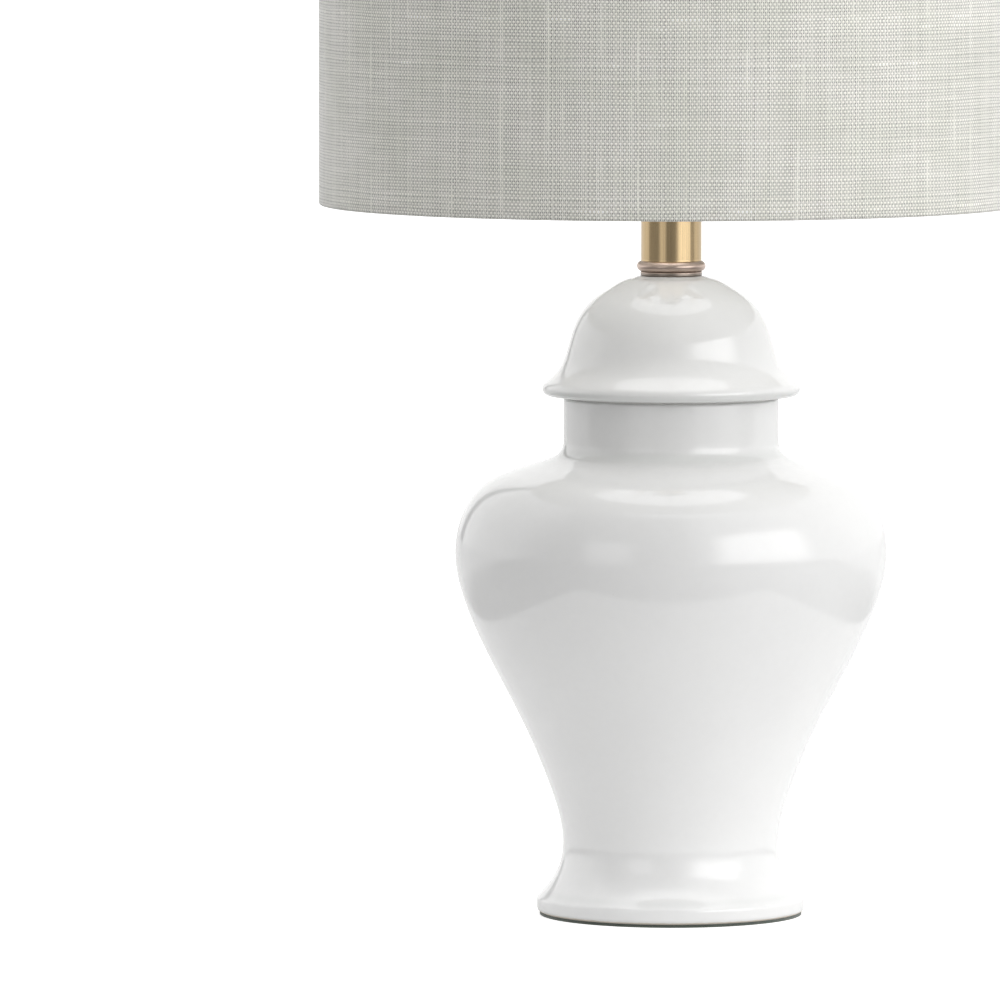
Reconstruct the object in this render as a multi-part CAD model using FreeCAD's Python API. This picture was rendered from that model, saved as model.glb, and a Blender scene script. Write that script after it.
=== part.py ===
"""Table lamp: a lidded ceramic jar on a flared foot, a brass neck, and a linen drum shade.

Millimetres, +Z up. The origin is the centre of the underside of the foot's felt, and the
switch knob points to the front, along -Y. Pieces are turned on the lamp's axis, Z, unless
their own function says otherwise.
"""
import FreeCAD
import Part
import math
import os

Vector = FreeCAD.Vector

# ---- driving dimensions -------------------------------------------------------------------
INCH = 25.4
shade_diameter = 15 * INCH
shade_height = 10 * INCH
shade_bottom = 385.2          # height of the shade's lower edge above the table
felt_thickness = 1.5
ceramic_wall = 5.0

# jar: heights above the table
jar_foot_radius = 72.5
jar_floor_bottom = 29.0
jar_floor_top = 36.0
jar_neck_radius = 58.3
jar_neck_root = 250.3
jar_neck_top = 280.4
jar_neck_split = 252.0        # just above the fillet at the neck's root
gasket_thickness = 1.5
lid_rim_radius = 69.8
lid_top = 346.7
lid_spigot_radius = 52.5
lid_spigot_depth = 9.0

# lamp pipe, 1/8 in pipe thread size
pipe_radius = 4.85
pipe_bore = 3.2
pipe_clearance = 0.25
pipe_bottom = 16.0

# brass neck
neck_ring_radius = 16.7
neck_ring_height = 2.5
neck_bead_radius = 18.6
neck_bead_height = 5.6
neck_tube_radius = 16.4
neck_tube_height = 50.0
neck_tube_wall = 1.0
neck_cap_radius = 17.6
neck_cap_height = 2.3

# harp
saddle_half_span = 35.5       # lets the ferrules rise past the bulb with the harp
saddle_thickness = 1.8
saddle_post_radius = 2.2
saddle_post_height = 15.0
harp_wire_radius = 1.8
harp_half_width = 54.0
ferrule_length = 25.0
ferrule_radius = 3.6

# socket and lamp base, medium screw size
socket_radius = 16.4
screw_shell_bore = 13.4
bulb_cap_radius = 13.1
bulb_thread_pitch = INCH / 7
bulb_radius = 30.0
bulb_length = 110.0

# shade frame
linen_thickness = 0.7
liner_thickness = 0.6
frame_wire_radius = 1.6
spider_drop = 0.5 * INCH
hub_radius = 19.0
hub_thickness = 2.4
stud_radius = 3.17            # 1/4 in thread

# gaps between pieces that move on each other
gap = 0.3
fit = 0.1

# ---- levels worked out from the driving dimensions -------------------------------------------
foot_bottom = felt_thickness
lid_bottom = jar_neck_top + gasket_thickness
bead_bottom = lid_top + neck_ring_height
tube_bottom = bead_bottom + neck_bead_height
cap_bottom = tube_bottom + neck_tube_height
saddle_bottom = cap_bottom + neck_cap_height
saddle_top = saddle_bottom + saddle_thickness
saddle_nut_height = 4.0
socket_bottom = saddle_top + saddle_nut_height
socket_hub_height = 8.0
switch_body_bottom = socket_bottom + 15.5
switch_body_height = 17.5
switch_body_top = switch_body_bottom + switch_body_height
switch_axis = socket_bottom + 27.0
socket_top = switch_body_top + 25.0
contact_thickness = 0.9
bulb_bottom = switch_body_top + contact_thickness + gap
bulb_cap_top = socket_top + 0.5
bulb_top = bulb_bottom + bulb_length
shade_radius = shade_diameter / 2
shade_top = shade_bottom + shade_height
frame_ring_radius = shade_radius - linen_thickness - liner_thickness - frame_wire_radius - 0.05
frame_ring_inset = frame_wire_radius + 0.6
hub_middle = shade_top - frame_ring_inset - spider_drop
hub_bottom = hub_middle - hub_thickness / 2
hub_top = hub_middle + hub_thickness / 2
stud_flange_top = hub_bottom - gap
stud_flange_thickness = 2.0
crown_top = stud_flange_top - stud_flange_thickness - gap
crown_height = 13.0
crown_bottom = crown_top - crown_height
harp_wire_top = crown_bottom + 4.2
stud_top = hub_top + 15.5
finial_base_bottom = hub_top + gap
finial_base_height = 5.0
finial_knob_bottom = finial_base_bottom + finial_base_height + gap
finial_ball_radius = 11.0


# ---- shaping helpers -------------------------------------------------------------------------
def flat_point(pair):
    """A point of a section: radius or X first, then height."""
    return Vector(pair[0], 0, pair[1])


def path_edges(corners):
    """Straight runs through the corners; a corner (x, z, radius) is rounded by a tangent arc."""
    edges = []
    start = flat_point(corners[0])
    for here, after in zip(corners[1:], corners[2:]):
        corner = flat_point(here)
        if len(here) == 2:
            edges.append(Part.LineSegment(start, corner).toShape())
            start = corner
            continue
        back = (start - corner).normalize()
        ahead = (flat_point(after) - corner).normalize()
        half_angle = back.getAngle(ahead) / 2
        reach = here[2] / math.tan(half_angle)
        middle = (back + ahead).normalize() * (here[2] / math.sin(half_angle) - here[2])
        arc_start = corner + back * reach
        arc_end = corner + ahead * reach
        if (arc_start - start).Length > 1e-6:
            edges.append(Part.LineSegment(start, arc_start).toShape())
        edges.append(Part.Arc(arc_start, corner + middle, arc_end).toShape())
        start = arc_end
    end = flat_point(corners[-1])
    if (end - start).Length > 1e-6:
        edges.append(Part.LineSegment(start, end).toShape())
    return edges


def smooth_edge(stations, start_direction, end_direction):
    """One smooth curve through the stations, leaving and arriving in the given directions."""
    points = [flat_point(station) for station in stations]
    curve = Part.BSplineCurve()
    curve.interpolate(Points=points, InitialTangent=flat_point(start_direction),
                      FinalTangent=flat_point(end_direction))
    return curve.toShape()


def inset(stations, depth):
    """The stations moved inwards, at right angles to the line between their neighbours."""
    moved = []
    for index, (radius, height) in enumerate(stations):
        before = stations[max(index - 1, 0)]
        after = stations[min(index + 1, len(stations) - 1)]
        run = Vector(after[0] - before[0], 0, after[1] - before[1]).normalize()
        moved.append((radius - run.z * depth, height + run.x * depth))
    return moved


def turned(edges):
    """The closed section turned one full turn about the lamp's axis."""
    face = Part.Face(Part.Wire(Part.__sortEdges__(edges)))
    solid = face.revolve(Vector(0, 0, 0), Vector(0, 0, 1), 360)
    return Part.makeSolid(solid.Shells[0]) if solid.ShapeType != "Solid" else solid


def turned_profile(corners):
    """A turned piece from the corners of its section, given once round."""
    middle = ((corners[0][0] + corners[-1][0]) / 2, (corners[0][1] + corners[-1][1]) / 2)
    return turned(path_edges([middle] + list(corners) + [middle]))


def ring(outer, inner, bottom, top):
    """A plain ring or tube."""
    return turned_profile([(inner, bottom), (outer, bottom), (outer, top), (inner, top)])


def soft_ring(outer, inner, bottom, top, edge):
    """A ring whose two outer edges are rounded."""
    return turned_profile([(inner, bottom), (outer, bottom, edge), (outer, top, edge), (inner, top)])


def post(radius, bottom, top, x=0, y=0):
    """An upright round post."""
    return Part.makeCylinder(radius, top - bottom, Vector(x, y, bottom))


def bar_along(axis, radius, start, end):
    """A round bar along X or Y, on the line that the start and end points share."""
    return Part.makeCylinder(radius, (end - start).Length, start, axis)


def wire_along(edges, radius):
    """Round wire along a path in the XZ plane."""
    path = Part.Wire(edges)
    start = edges[0].valueAt(edges[0].FirstParameter)
    direction = edges[0].tangentAt(edges[0].FirstParameter)
    section = Part.Wire(Part.Circle(start, direction, radius).toShape())
    return path.makePipeShell([section], True, True)


def hexagon(across_flats, bottom, top):
    """A six-sided prism on the lamp's axis."""
    corner = across_flats / math.sqrt(3)
    turns = [math.radians(60 * side) for side in range(7)]
    points = [Vector(corner * math.cos(turn), corner * math.sin(turn), bottom) for turn in turns]
    return Part.Face(Part.makePolygon(points)).extrude(Vector(0, 0, top - bottom))


def pipe_hole(bottom, top):
    """The hole that a piece on the lamp pipe needs."""
    return post(pipe_radius + pipe_clearance, bottom - 1, top + 1)


# ---- base and jar ------------------------------------------------------------------------------
# the jar's outside from the top of the foot's rim to the root of the neck: radius, height
JAR_STATIONS = [(70.0, 12.0), (64.6, 18.7), (60.0, 28.0), (58.5, 38.0), (60.0, 51.8), (66.7, 73.2),
                (80.7, 105.7), (97.5, 138.2), (111.2, 169.0), (116.9, 198.8), (112.2, 218.8),
                (99.5, 234.9), (88.0, 240.7), (71.0, 246.0)]
FOOT_SLOPE = (-2.6, 2.8)
SHOULDER_SLOPE = (-3.6, 1.0)
# the lid's outside from beside the brass ring to the widest point of its rim
LID_STATIONS = [(21.0, 345.6), (32.5, 340.6), (44.0, 332.4), (51.4, 321.5), (55.5, 309.0),
                (58.4, 300.2), (62.0, 294.4), (66.4, 290.4), (lid_rim_radius, 286.0)]
LID_INSIDE = [(47.5, 290.0), (49.6, 304.0), (46.2, 319.0), (39.8, 329.0), (30.0, 337.0), (19.0, 341.2)]
bushing_height = 15.0
bushing_radius = 4.6
bushing_inner_end = 58.0
bushing_outer_end = 70.5
bushing_bore = 3.3


def foot_felt():
    return ring(jar_foot_radius - 1.5, 62.0, 0, felt_thickness)


def whole_jar():
    """The jar with its neck, its floor and its hollow foot, as one turned section."""
    inner = inset(JAR_STATIONS, ceramic_wall)
    waist = JAR_STATIONS.index(min(JAR_STATIONS))
    bore = jar_neck_radius - ceramic_wall
    hole = pipe_radius + pipe_clearance
    foot = path_edges([(inner[0][0], foot_bottom), (jar_foot_radius, foot_bottom, 2.5),
                       (jar_foot_radius, 9.2, 3.0), JAR_STATIONS[0]])
    outside = smooth_edge(JAR_STATIONS, FOOT_SLOPE, SHOULDER_SLOPE)
    neck = path_edges([JAR_STATIONS[-1], (jar_neck_radius, jar_neck_root, 9.0),
                       (jar_neck_radius, jar_neck_top, 1.5), (bore, jar_neck_top, 1.5),
                       (bore, jar_neck_root - ceramic_wall, 4.0), inner[-2]])
    chamber = smooth_edge(inner[waist:-1], (0, 1.0), SHOULDER_SLOPE)
    floor = path_edges([inner[waist], (inner[waist][0], jar_floor_top), (hole, jar_floor_top),
                        (hole, jar_floor_bottom), (inner[waist][0], jar_floor_bottom), inner[waist - 1]])
    recess = smooth_edge(inner[:waist], FOOT_SLOPE, (-0.5, 1.0))
    skirt = path_edges([inner[0], (inner[0][0], foot_bottom)])
    jar = turned(foot + [outside] + neck + [chamber] + floor + [recess] + skirt)
    cord_hole = bar_along(Vector(0, 1, 0), bushing_radius, Vector(0, 50, bushing_height),
                          Vector(0, 80, bushing_height))
    return jar.cut(cord_hole)


def jar_band(bottom, top):
    """The jar between two heights. The bands are one fired piece, and touch on flat faces."""
    widest = max(radius for radius, height in JAR_STATIONS)
    return whole_jar().common(post(2 * widest, bottom, top))


def jar_foot():
    return jar_band(0, jar_floor_top)


def jar_body():
    return jar_band(jar_floor_top, jar_neck_split)


def jar_neck():
    return jar_band(jar_neck_split, jar_neck_top + 1)


def cord_bushing():
    """A plain sleeve through the back of the foot, along Y."""
    start = Vector(0, bushing_inner_end, bushing_height)
    end = Vector(0, bushing_outer_end, bushing_height)
    sleeve = bar_along(Vector(0, 1, 0), bushing_radius, start, end)
    sleeve = sleeve.makeFillet(0.6, [edge for edge in sleeve.Edges if edge.CenterOfMass.y > end.y - 0.1])
    return sleeve.cut(bar_along(Vector(0, 1, 0), bushing_bore, start, end))


def jar_lid():
    outside = [smooth_edge(LID_STATIONS, (12.0, -1.5), (0, -1.0))]
    spigot_bottom = lid_bottom - lid_spigot_depth
    under = path_edges([LID_STATIONS[-1], (lid_rim_radius, lid_bottom, 3.8),
                        (lid_spigot_radius, lid_bottom), (lid_spigot_radius, spigot_bottom, 1.0),
                        (LID_INSIDE[0][0], spigot_bottom), LID_INSIDE[0]])
    inside = [smooth_edge(LID_INSIDE, (0, 1.0), (-1.0, 0.12))]
    hole = pipe_radius + pipe_clearance
    top = path_edges([LID_INSIDE[-1], (hole, LID_INSIDE[-1][1]), (hole, lid_top),
                      (neck_ring_radius + 1.0, lid_top), LID_STATIONS[0]])
    return turned(outside + under + inside + top)


def lid_gasket():
    return ring(56.3, lid_spigot_radius + 0.2, jar_neck_top, lid_bottom)


def base_gasket():
    return soft_ring(20.0, pipe_radius + pipe_clearance, jar_floor_bottom - 2.0, jar_floor_bottom, 0.5)


def base_washer():
    return ring(18.0, pipe_radius + pipe_clearance, jar_floor_bottom - 3.6, jar_floor_bottom - 2.0)


def lock_washer():
    """A split spring washer."""
    bottom = jar_floor_bottom - 5.2
    washer = ring(8.2, pipe_radius + pipe_clearance, bottom, bottom + 1.6)
    slit = Part.makeBox(0.8, 10, 4, Vector(-0.4, 0, bottom - 1))
    return washer.cut(slit)


def base_nut():
    top = jar_floor_bottom - 5.2
    return hexagon(14.3, top - 5.0, top).cut(post(pipe_radius + fit / 2, top - 6, top + 1))


def lamp_pipe():
    return ring(pipe_radius, pipe_bore, pipe_bottom, socket_bottom + socket_hub_height)


# ---- brass neck ----------------------------------------------------------------------------------
def neck_base_ring():
    return soft_ring(neck_ring_radius, pipe_radius + pipe_clearance, lid_top, bead_bottom, 0.7)


def neck_bead():
    edge = neck_bead_height / 2 - 0.1
    return soft_ring(neck_bead_radius, pipe_radius + pipe_clearance, bead_bottom, tube_bottom, edge)


def neck_tube():
    return ring(neck_tube_radius, neck_tube_radius - neck_tube_wall, tube_bottom, cap_bottom)


def neck_cap():
    return soft_ring(neck_cap_radius, pipe_radius + pipe_clearance, cap_bottom, saddle_bottom, 0.8)


# ---- harp ------------------------------------------------------------------------------------------
def harp_saddle():
    """A flat bar with two upright posts that the harp's legs stand on."""
    half_width = 6.0
    bar = Part.makeBox(2 * saddle_half_span, 2 * half_width, saddle_thickness,
                       Vector(-saddle_half_span, -half_width, saddle_bottom))
    for side in (-1, 1):
        bar = bar.fuse(post(half_width, saddle_bottom, saddle_top, side * saddle_half_span))
        post_top = saddle_top + saddle_post_height
        upright = post(saddle_post_radius, saddle_bottom, post_top, side * saddle_half_span)
        top = [edge for edge in upright.Edges if edge.CenterOfMass.z > post_top - 0.1]
        bar = bar.fuse(upright.makeFillet(0.8, top))
    return bar.removeSplitter().cut(pipe_hole(saddle_bottom, saddle_top))


def saddle_nut():
    nut = hexagon(15.0, saddle_top, socket_bottom)
    return nut.cut(post(pipe_radius + fit / 2, saddle_top - 1, socket_bottom + 1))


def harp():
    """One wire loop: two legs that spread round the bulb and meet in a flat top."""
    leg_bottom = saddle_top + saddle_post_height + gap
    bend_start = leg_bottom + 37.0
    bend_end = bend_start + 26.0
    right = [(saddle_half_span, leg_bottom), (saddle_half_span, bend_start, 28.0),
             (harp_half_width, bend_end, 28.0), (harp_half_width, harp_wire_top, 44.0)]
    left = [(-corner[0],) + corner[1:] for corner in reversed(right)]
    return wire_along(path_edges(right + left), harp_wire_radius)


def harp_crown():
    """The block at the top of the harp: the wire runs through it and the stud turns in it."""
    crown = soft_ring(6.0, 0.0, crown_bottom, crown_top, 1.0)
    wire = bar_along(Vector(1, 0, 0), harp_wire_radius, Vector(-10, 0, harp_wire_top),
                     Vector(10, 0, harp_wire_top))
    stud_hole = post(2.2, harp_wire_top + harp_wire_radius + 1.0, crown_top + 1)
    return crown.cut(wire).cut(stud_hole)


def harp_stud():
    """The turning stud: a shank in the crown, a flange for the shade, and a thread for the finial."""
    foot = harp_wire_top + harp_wire_radius + 1.0 + gap
    flange_bottom = stud_flange_top - stud_flange_thickness
    return turned_profile([(0, foot), (2.2 - fit / 2, foot), (2.2 - fit / 2, flange_bottom),
                           (9.0, flange_bottom, 0.5), (9.0, stud_flange_top, 0.5),
                           (stud_radius, stud_flange_top), (stud_radius, stud_top, 0.8), (0, stud_top)])


def harp_ferrule(side):
    """The sleeve that locks one leg of the harp to its post."""
    bottom = saddle_top + gap
    top = bottom + ferrule_length
    bore = saddle_post_radius + fit
    sleeve = turned_profile([(bore, bottom), (ferrule_radius + 0.5, bottom, 0.4),
                             (ferrule_radius + 0.5, bottom + 2.5, 0.4), (ferrule_radius, bottom + 2.5),
                             (ferrule_radius, top, 0.7), (bore, top)])
    return sleeve.translated(Vector(side * saddle_half_span, 0, 0))


def harp_ferrule_left():
    return harp_ferrule(-1)


def harp_ferrule_right():
    return harp_ferrule(1)


# ---- socket and switch -----------------------------------------------------------------------------
stem_radius = 2.0
stem_inner_end = -5.0
knob_inner_end = -24.0
knob_depth = 15.0


def socket_cap():
    """The cup under the socket, screwed to the lamp pipe."""
    low = socket_bottom
    wall = 0.7
    rim = socket_radius + wall + fit
    thread = pipe_radius + fit / 2
    floor = low + socket_hub_height
    cup = turned_profile([(thread, low), (7.5, low), (7.5, low + 6.6, 1.5), (12.5, low + 9.4, 3.0),
                          (rim, low + 13.5, 2.5), (rim, low + 22.0, 0.3), (rim - wall, low + 22.0),
                          (rim - wall, low + 14.2, 1.8), (12.0, low + 10.2, 2.2), (7.2, floor),
                          (thread, floor)])
    return cup.cut(socket_set_screw())


def socket_set_screw():
    """The small screw in the cap's hub that stops it turning on the pipe, along Y."""
    height = socket_bottom + 3.4
    return bar_along(Vector(0, 1, 0), 1.5, Vector(0, pipe_radius + fit, height), Vector(0, 9.0, height))


def stem_hole(radius):
    """A round hole from the front of the socket to the inner end of the switch's stem."""
    return bar_along(Vector(0, 1, 0), radius, Vector(0, -40, switch_axis),
                     Vector(0, stem_inner_end, switch_axis))


def socket_shell():
    low = socket_bottom + 14.6
    inner = socket_radius - 0.6
    shell = turned_profile([(inner, low), (socket_radius, low), (socket_radius, socket_top - 7.0),
                            (socket_radius + 0.7, socket_top - 5.6, 0.6), (socket_radius, socket_top - 4.2),
                            (socket_radius, socket_top, 1.2), (inner - 1.2, socket_top),
                            (inner - 1.2, socket_top - 0.6), (inner, socket_top - 0.6, 0.5)])
    return shell.cut(stem_hole(3.2))


def socket_liner():
    sleeve = ring(socket_radius - 0.8, socket_radius - 1.4, switch_body_bottom, socket_top - 1.2)
    return sleeve.cut(stem_hole(3.0))


def socket_screw_shell():
    return ring(screw_shell_bore + 0.4, screw_shell_bore, switch_body_top, socket_top - 1.5)


def terminal_screws():
    """Two screws on the sides of the switch body, along X."""
    height = switch_body_bottom + 6.0
    screws = []
    for side in (-1, 1):
        axis = Vector(side, 0, 0)
        head = bar_along(axis, 2.6, Vector(side * 11.9, 0, height), Vector(side * 13.5, 0, height))
        shank = bar_along(axis, 1.4, Vector(side * 8.0, 0, height), Vector(side * 11.9, 0, height))
        screws.append(head.fuse(shank))
    return Part.makeCompound(screws)


def switch_body():
    body = soft_ring(screw_shell_bore + 0.4, 0.0, switch_body_bottom, switch_body_top, 0.5)
    waist = ring(20.0, 11.9, switch_body_bottom + 2.0, switch_body_bottom + 10.0)
    return body.cut(waist).cut(stem_hole(stem_radius + fit)).cut(terminal_screws())


def centre_contact():
    return Part.makeBox(9.0, 3.6, contact_thickness, Vector(-4.5, -1.8, switch_body_top))


def switch_stem():
    return bar_along(Vector(0, -1, 0), stem_radius, Vector(0, stem_inner_end - gap, switch_axis),
                     Vector(0, knob_inner_end, switch_axis))


def switch_knob():
    """A turn key: a round collar and two flat wings, along Y."""
    tip = knob_inner_end - knob_depth
    collar = bar_along(Vector(0, -1, 0), 4.2, Vector(0, knob_inner_end, switch_axis),
                       Vector(0, knob_inner_end - 6.0, switch_axis))
    wings = Part.makeBox(16.0, knob_depth - 4.0, 4.4, Vector(-8.0, tip, switch_axis - 2.2))
    across = [edge for edge in wings.Edges if abs(edge.CenterOfMass.z - switch_axis) < 0.1]
    wings = wings.makeFillet(3.6, across)
    wings = wings.makeFillet(1.2, [edge for edge in wings.Edges if edge.CenterOfMass.y < tip + 4.0])
    return collar.fuse(wings).removeSplitter()


# ---- bulb ------------------------------------------------------------------------------------------
tip_height = 1.5
tip_insulator_height = 3.5
bulb_housing_bottom = bulb_cap_top + gap
bulb_collar_top = bulb_housing_bottom + 40.0
bulb_wall = 1.5


def bulb_contact():
    """The round contact at the bottom of the cap, with a softened lower edge."""
    button = post(4.6, bulb_bottom, bulb_bottom + tip_height)
    lower = [edge for edge in button.Edges if edge.CenterOfMass.z < bulb_bottom + 0.1]
    return button.makeFillet(0.9, lower)


def bulb_tip_insulator():
    low = bulb_bottom + tip_height
    return turned_profile([(0, low), (4.6, low), (9.6, low + tip_insulator_height),
                           (0, low + tip_insulator_height)])


def bulb_cap():
    """The screw cap: a thin shell with rolled thread crests, smooth enough to lift in its socket."""
    low = bulb_bottom + tip_height + tip_insulator_height
    root = bulb_cap_radius - 0.7
    outside = [(9.6, low), (root, low + 1.6, 0.5)]
    turns = int((bulb_cap_top - low - 4.0) / bulb_thread_pitch)
    for turn in range(turns):
        start = low + 2.4 + turn * bulb_thread_pitch
        outside += [(root, start), (bulb_cap_radius, start + bulb_thread_pitch / 2, 0.8),
                    (root, start + bulb_thread_pitch - 0.2)]
    inside = [(root - 0.5, bulb_cap_top), (root - 0.5, low + 1.8), (9.3, low + 0.5), (9.3, low)]
    return turned_profile(outside + [(root, bulb_cap_top)] + inside)


def bulb_housing():
    """The heat sink: a cone from the screw cap to the diffuser."""
    low = bulb_housing_bottom
    high = bulb_collar_top
    return turned_profile([(9.5, low), (12.9, low, 0.8), (14.6, low + 9.0, 12.0),
                           (28.4, high - 3.0, 4.0), (28.4, high), (26.6, high), (26.6, high - 2.6, 3.0),
                           (13.0, low + 9.6, 10.0), (11.0, low + 2.0), (9.5, low + 2.0)])


def bulb_diffuser():
    centre = bulb_top - bulb_radius
    outer = Part.makeSphere(bulb_radius, Vector(0, 0, centre))
    inner = Part.makeSphere(bulb_radius - bulb_wall, Vector(0, 0, centre))
    keep = post(bulb_radius + 1, bulb_collar_top, bulb_top + 1)
    return outer.cut(inner).common(keep)


def led_board():
    return ring(24.0, 3.0, bulb_collar_top - 4.6, bulb_collar_top - 3.0)


def led_chips():
    """Eight chips in a ring on the board."""
    chips = []
    for index in range(8):
        chip = Part.makeBox(3.0, 3.0, 0.8, Vector(14.5, -1.5, bulb_collar_top - 3.0))
        chip.rotate(Vector(0, 0, 0), Vector(0, 0, 1), 45 * index)
        chips.append(chip)
    return Part.makeCompound(chips)


def bulb_driver():
    """The upright driver board under the chip board, with its two tall parts."""
    low = bulb_housing_bottom + 3.0
    board = Part.makeBox(16.0, 1.6, 30.0, Vector(-8.0, -0.8, low))
    capacitor = Part.makeCylinder(3.6, 12.0, Vector(0, 4.4, low + 16.0))
    coil = Part.makeBox(8.0, 5.0, 8.0, Vector(-4.0, -5.8, low + 18.0))
    return board.fuse([capacitor, coil])


# ---- shade -----------------------------------------------------------------------------------------
def shade_linen():
    return ring(shade_radius, shade_radius - linen_thickness, shade_bottom, shade_top)


def shade_liner():
    outer = shade_radius - linen_thickness
    return ring(outer, outer - liner_thickness, shade_bottom + 0.4, shade_top - 0.4)


def frame_ring(height):
    return Part.makeTorus(frame_ring_radius, frame_wire_radius, Vector(0, 0, height))


def shade_bottom_ring():
    return frame_ring(shade_bottom + frame_ring_inset)


def shade_top_ring():
    return frame_ring(shade_top - frame_ring_inset)


def spider_arms():
    """Three wires from the hub out to the top ring, turned up inside it."""
    end = frame_ring_radius - 2 * frame_wire_radius - 0.05
    route = [(hub_radius - 5.0, hub_middle), (end, hub_middle, 8.0), (end, shade_top - frame_ring_inset)]
    arms = []
    for index in range(3):
        arm = wire_along(path_edges(route), frame_wire_radius)
        arm.rotate(Vector(0, 0, 0), Vector(0, 0, 1), 30 + 120 * index)
        arms.append(arm)
    return Part.makeCompound(arms)


def spider_hub():
    disc = soft_ring(hub_radius, stud_radius + 0.4, hub_bottom, hub_top, 0.6)
    return disc.cut(spider_arms())


# ---- finial ----------------------------------------------------------------------------------------
def finial_base():
    low = finial_base_bottom
    high = low + finial_base_height
    return turned_profile([(stud_radius + fit, low), (8.0, low, 0.6), (8.0, low + 2.2, 0.8),
                           (5.6, high), (stud_radius + fit, high)])


def finial_knob():
    """A ball on a small waist, with a blind hole for the stud."""
    low = finial_knob_bottom
    centre = low + 4.0 + finial_ball_radius
    waist = turned_profile([(0, low), (6.2, low, 0.5), (6.2, low + 2.0, 0.5), (4.6, low + 3.4),
                            (4.6, low + 8.0), (0, low + 8.0)])
    knob = waist.fuse(Part.makeSphere(finial_ball_radius, Vector(0, 0, centre)))
    tip = turned_profile([(0, centre), (1.6, centre), (1.6, centre + finial_ball_radius + 1.6, 1.2),
                          (0, centre + finial_ball_radius + 1.6)])
    return knob.fuse(tip).removeSplitter().cut(post(stud_radius + fit, low - 1, stud_top + gap))


# ---- write one file per piece ------------------------------------------------------------------------
PIECES = [foot_felt, jar_foot, jar_body, jar_neck, cord_bushing, jar_lid, lid_gasket, base_gasket,
          base_washer, lock_washer, base_nut, lamp_pipe, neck_base_ring, neck_bead, neck_tube,
          neck_cap, harp_saddle, saddle_nut,
          harp, harp_crown, harp_stud, harp_ferrule_left, harp_ferrule_right, socket_cap,
          socket_set_screw, socket_shell, socket_liner, socket_screw_shell, switch_body,
          terminal_screws, centre_contact, switch_stem, switch_knob, bulb_contact,
          bulb_tip_insulator, bulb_cap, bulb_housing, bulb_diffuser, led_board, led_chips,
          bulb_driver, shade_linen, shade_liner, shade_bottom_ring, shade_top_ring, spider_arms,
          spider_hub, finial_base, finial_knob]

os.makedirs("parts", exist_ok=True)
for piece in PIECES:
    shape = piece()
    shape.exportStep("parts/" + piece.__name__ + ".step")
    box = shape.BoundBox
    print(f"{piece.__name__:22s} solids {len(shape.Solids)} valid {shape.isValid()} "
          f"volume {shape.Volume:10.1f}  z {box.ZMin:7.1f} to {box.ZMax:7.1f}  "
          f"x {box.XMin:7.1f} to {box.XMax:7.1f}")
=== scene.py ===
"""Looks of a table lamp: a lidded jar in white glaze, a satin brass neck and a linen drum shade.

Laid out as an add-on: property groups hold the sizes and colours, one operator makes each group
of pieces, and a panel lists them. Everything is in metres, in the frame of the packed model.
"""

import math

import bmesh
import bpy
import numpy as np
from bpy.props import FloatProperty, FloatVectorProperty, IntProperty, PointerProperty
from bpy.types import Operator, Panel, PropertyGroup
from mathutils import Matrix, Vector


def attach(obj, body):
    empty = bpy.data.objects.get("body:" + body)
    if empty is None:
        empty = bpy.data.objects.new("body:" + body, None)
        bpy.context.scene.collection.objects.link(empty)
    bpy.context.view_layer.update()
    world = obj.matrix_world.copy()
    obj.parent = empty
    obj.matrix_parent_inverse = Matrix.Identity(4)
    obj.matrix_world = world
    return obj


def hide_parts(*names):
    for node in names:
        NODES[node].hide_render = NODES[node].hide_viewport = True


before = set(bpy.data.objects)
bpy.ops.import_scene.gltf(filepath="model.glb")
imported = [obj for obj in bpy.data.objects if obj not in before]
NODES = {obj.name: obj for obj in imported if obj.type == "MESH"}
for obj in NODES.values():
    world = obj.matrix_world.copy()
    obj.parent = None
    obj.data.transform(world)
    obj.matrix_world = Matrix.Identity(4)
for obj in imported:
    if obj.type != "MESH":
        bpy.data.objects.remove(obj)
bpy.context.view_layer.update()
MM = 0.001

bl_info = {
    "name": "Table lamp",
    "version": (1, 0, 0),
    "blender": (4, 5, 0),
    "location": "3D View > Sidebar > Lamp",
    "description": "Makes the visible pieces, finishes and studio of a ceramic table lamp",
    "category": "Object",
}

# ---- sections, in millimetres: radius, height ------------------------------------------------
WALL = 5.0
PIPE_HOLE = 5.1
JAR_SIDE = np.array([
    (70.0, 12.0), (64.6, 18.7), (60.0, 28.0), (58.5, 38.0), (60.0, 51.8), (66.7, 73.2), (80.7, 105.7),
    (97.5, 138.2), (111.2, 169.0), (116.9, 198.8), (112.2, 218.8), (99.5, 234.9), (88.0, 240.7),
    (71.0, 246.0)])
WAIST = 3
FOOT_SLOPE = (-2.6, 2.8)
SHOULDER_SLOPE = (-3.6, 1.0)
LID_SIDE = np.array([
    (21.0, 345.6), (32.5, 340.6), (44.0, 332.4), (51.4, 321.5), (55.5, 309.0), (58.4, 300.2),
    (62.0, 294.4), (66.4, 290.4), (69.8, 286.0)])
LID_INSIDE = np.array([
    (47.5, 290.0), (49.6, 304.0), (46.2, 319.0), (39.8, 329.0), (30.0, 337.0), (19.0, 341.2)])
SHADE_RADIUS = 190.5
SHADE_ROLL = np.array([
    (188.55, 401.0), (188.45, 393.6), (186.3, 390.4), (185.3, 387.6), (186.1, 385.8), (187.9, 385.2),
    (189.75, 385.4), (190.5, 386.4)])
SHADE_MIDDLE = 512.2
THREAD_27 = 0.0254 / 27
PIPE_THREAD_RADIUS = 0.0055
STUD_THREAD_RADIUS = 0.0033
STUD_FLANGE_TOP = 0.6231
TABLE_SIDE = 0.385
TABLE_FRONT = 0.37
TABLE_EDGE = 0.01


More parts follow.
